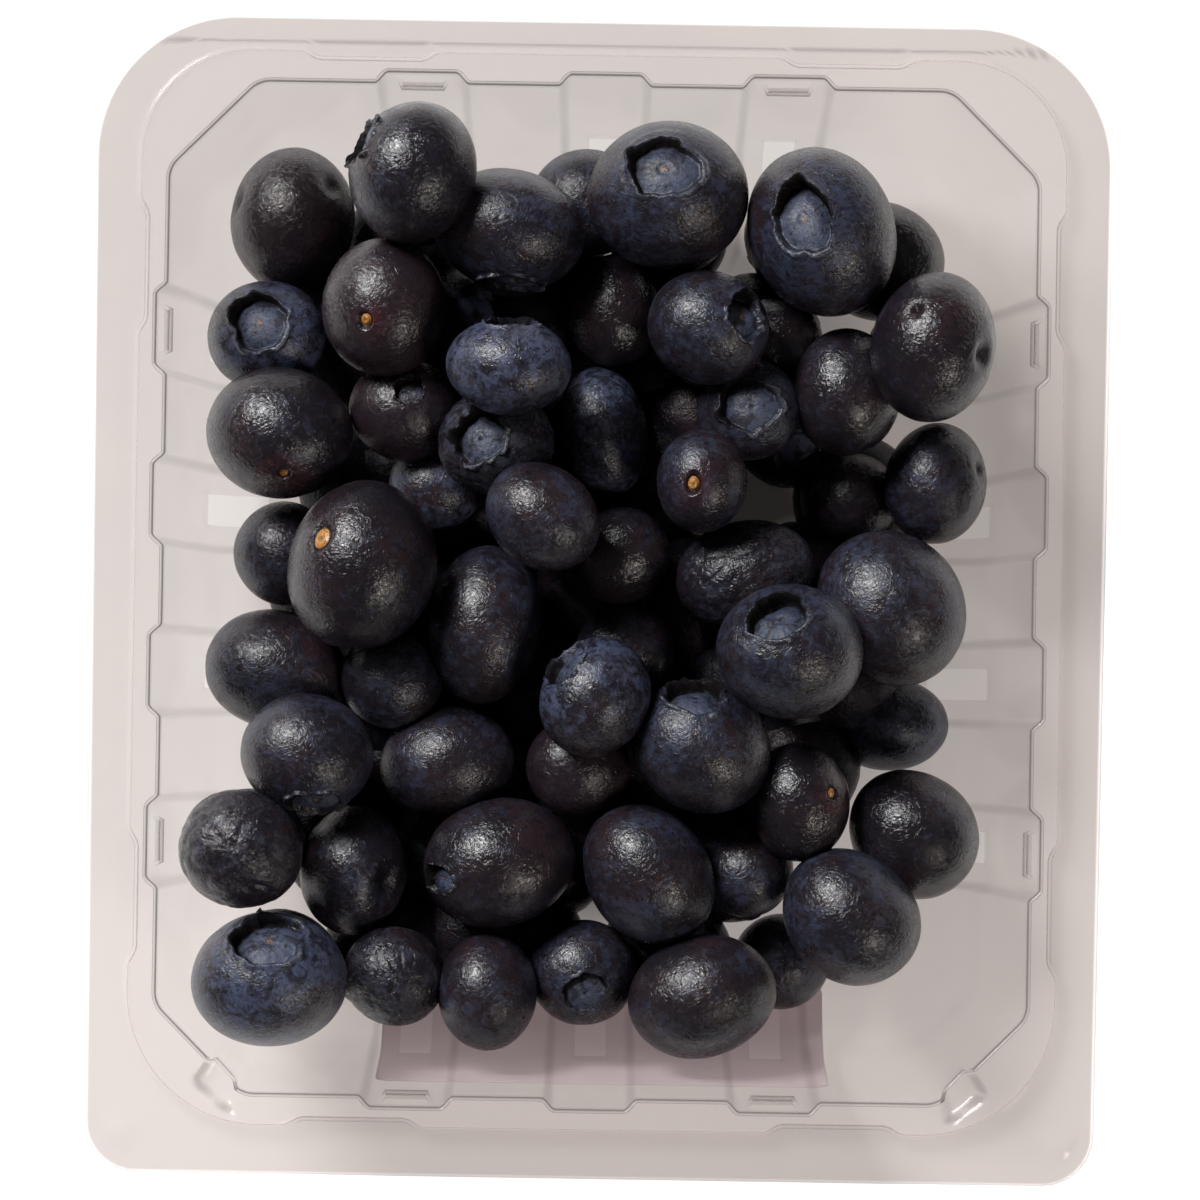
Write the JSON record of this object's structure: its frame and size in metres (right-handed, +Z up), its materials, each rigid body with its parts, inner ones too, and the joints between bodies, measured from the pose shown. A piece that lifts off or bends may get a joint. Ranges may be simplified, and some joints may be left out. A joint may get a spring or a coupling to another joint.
{
  "type": "punnet of blueberries",
  "caption": "Open clear tray with a wide flange, ribbed leaning walls and foot vents, part filled with a loose heap of round dark berries, with a paper label on the front wall.",
  "frame": {"origin": "on the ground, under the middle of the tray's opening, on the flat underside of its floor", "axes": "+X to the right along the label, +Y to the back edge where the lid was hinged, +Z up"},
  "size_m": [0.1264, 0.143, 0.045],
  "materials": {
    "clear_plastic": "clear thin thermoformed plastic, glossy",
    "berry_skin": "near-black blue fruit skin with a patchy pale bloom, soft gloss",
    "label_paper": "plain matt mauve-grey paper"
  },
  "bodies": {
    "root": {"tray": "clear_plastic", "berry_heap": "berry_skin", "label": "label_paper"}
  },
  "joints": []
}
